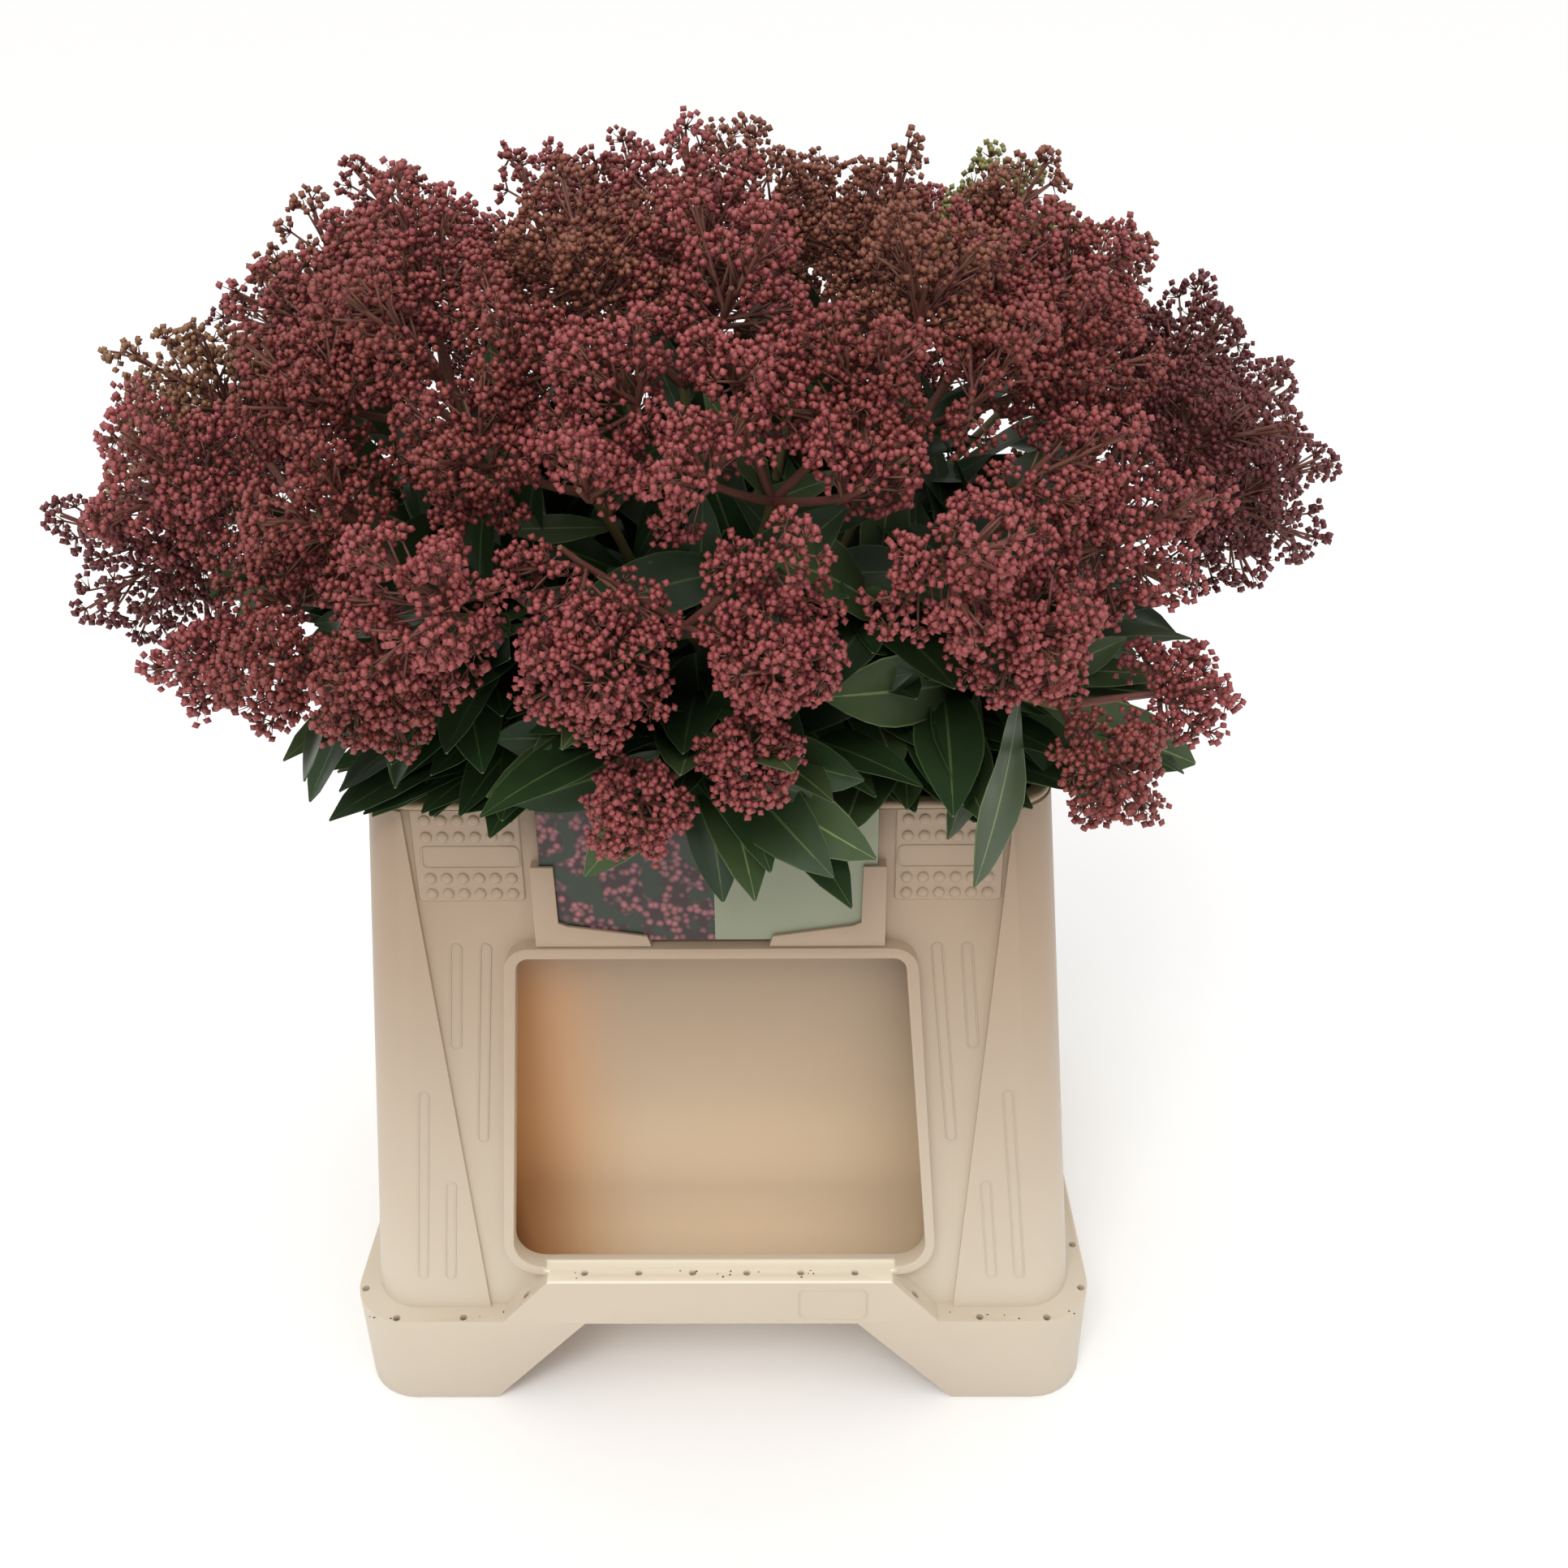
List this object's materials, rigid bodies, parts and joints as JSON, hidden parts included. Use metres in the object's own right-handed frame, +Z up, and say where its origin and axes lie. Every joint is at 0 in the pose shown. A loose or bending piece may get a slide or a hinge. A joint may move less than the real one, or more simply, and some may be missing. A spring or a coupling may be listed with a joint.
{
  "type": "bucket of cut skimmia shoots",
  "caption": "Dome of cut skimmia shoots with dense red-brown bud heads and dark leaves, standing in a cream double-walled plastic flower bucket.",
  "frame": {"origin": "under the middle of the whole part, level with the flat underside of the bucket's base ring", "axes": "+Z up along the bucket; -Y is the side with the label card; +X to the right of a viewer who looks at the card"},
  "size_m": [0.5158, 0.4064, 0.5319],
  "materials": {
    "cream_plastic": "satin injection moulding",
    "card": "printed coated card",
    "bark": "smooth olive brown bark",
    "buds": "closed waxy flower buds",
    "leaves": "leathery leaf",
    "twigs": "fine red-brown flower stalks"
  },
  "bodies": {
    "root": {"bucket_sleeve": "cream_plastic", "bucket_tub": "cream_plastic", "label_card": "card", "spray_hem_1": "leaves", "spray_hem_2": "leaves", "spray_hem_3": "leaves", "spray_hem_4": "leaves", "spray_hem_5": "leaves", "spray_hem_6": "leaves", "spray_hem_7": "leaves", "spray_shoulder_1": "buds", "spray_shoulder_2": "buds", "spray_shoulder_3": "buds", "spray_shoulder_4": "buds", "spray_shoulder_5": "buds", "spray_shoulder_6": "buds", "spray_shoulder_7": "buds", "spray_shoulder_8": "buds", "spray_shoulder_9": "buds", "spray_side_1": "buds", "spray_side_2": "buds", "spray_side_3": "buds", "spray_side_4": "buds", "spray_side_5": "buds", "spray_side_6": "buds", "spray_side_7": "buds", "spray_side_8": "buds", "spray_side_9": "buds", "spray_top_1": "buds", "spray_top_2": "buds", "spray_top_3": "buds", "stem_hem_1": "bark", "stem_hem_2": "bark", "stem_hem_3": "bark", "stem_hem_4": "bark", "stem_hem_5": "bark", "stem_hem_6": "bark", "stem_hem_7": "bark", "stem_shoulder_1": "bark", "stem_shoulder_2": "bark", "stem_shoulder_3": "bark", "stem_shoulder_4": "bark", "stem_shoulder_5": "bark", "stem_shoulder_6": "bark", "stem_shoulder_7": "bark", "stem_shoulder_8": "bark", "stem_shoulder_9": "bark", "stem_side_1": "bark", "stem_side_2": "bark", "stem_side_3": "bark", "stem_side_4": "bark", "stem_side_5": "bark", "stem_side_6": "bark", "stem_side_7": "bark", "stem_side_8": "bark", "stem_side_9": "bark", "stem_top_1": "bark", "stem_top_2": "bark", "stem_top_3": "bark"}
  },
  "joints": []
}
